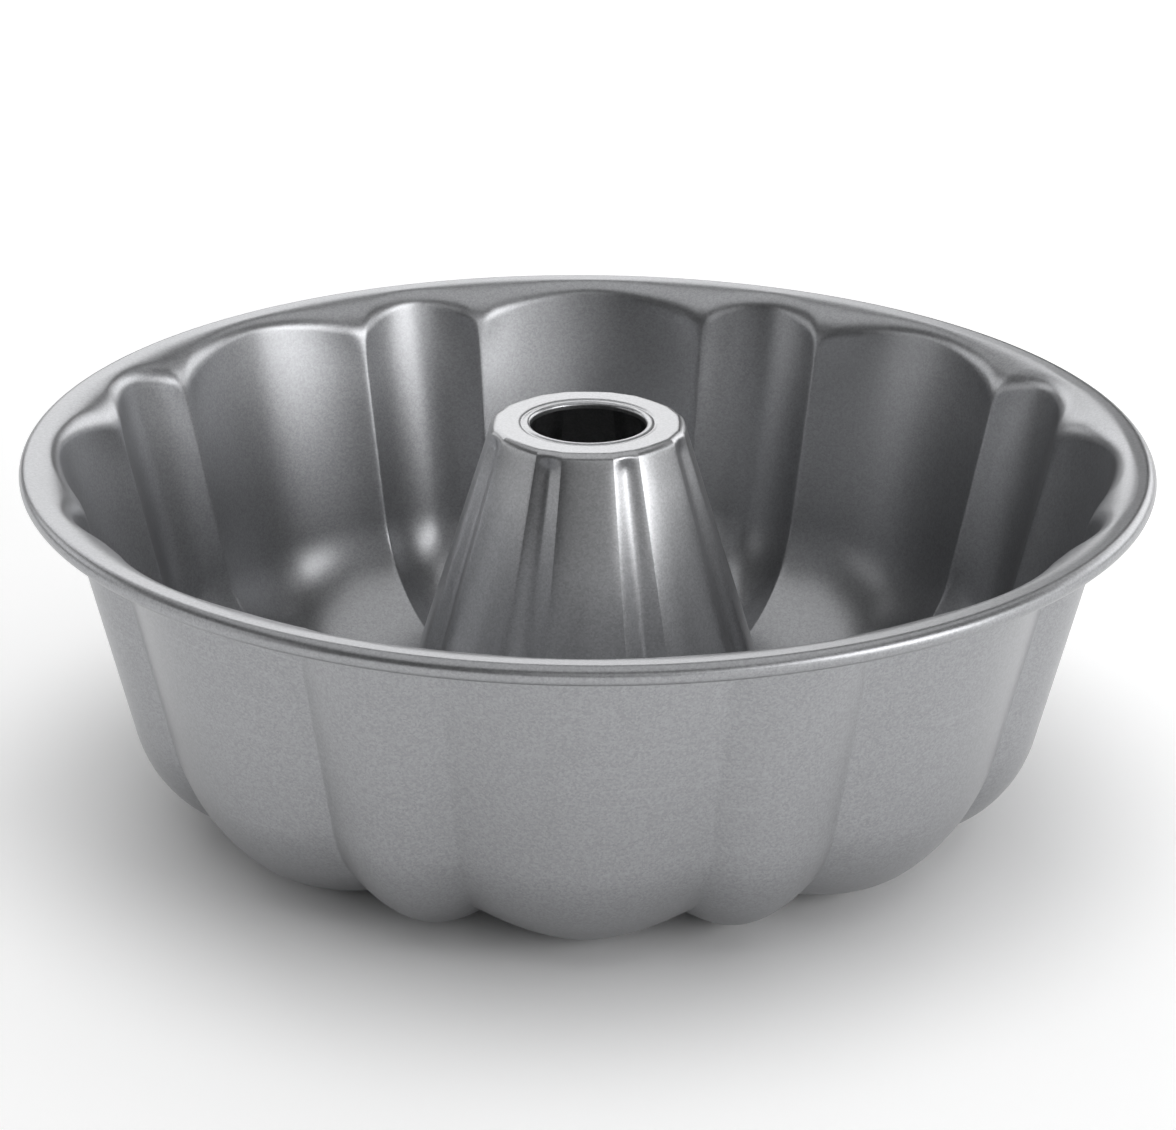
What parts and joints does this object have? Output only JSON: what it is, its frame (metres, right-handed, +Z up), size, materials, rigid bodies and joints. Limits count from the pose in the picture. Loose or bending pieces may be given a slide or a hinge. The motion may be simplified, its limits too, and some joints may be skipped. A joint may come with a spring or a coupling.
{
  "type": "fluted tube cake pan",
  "caption": "Round fluted cake pan with a curled rim and a flat-topped hollow centre tube, in coated pressed steel.",
  "frame": {"origin": "on the pan's axis, in the plane of the lobes' lowest points, on which the pan stands", "axes": "+Z up along the pan's axis towards the open rim; -Y through the middle of a wide lobe at the front, +X to the right"},
  "size_m": [0.254, 0.254, 0.0879],
  "materials": {
    "pan_coating": "satin metallic non-stick coating",
    "tube_coating": "satin metallic non-stick coating",
    "wire_steel": "drawn wire"
  },
  "bodies": {
    "root": {"pan_body": "pan_coating", "centre_tube": "tube_coating", "rim_wire": "wire_steel"}
  },
  "joints": []
}
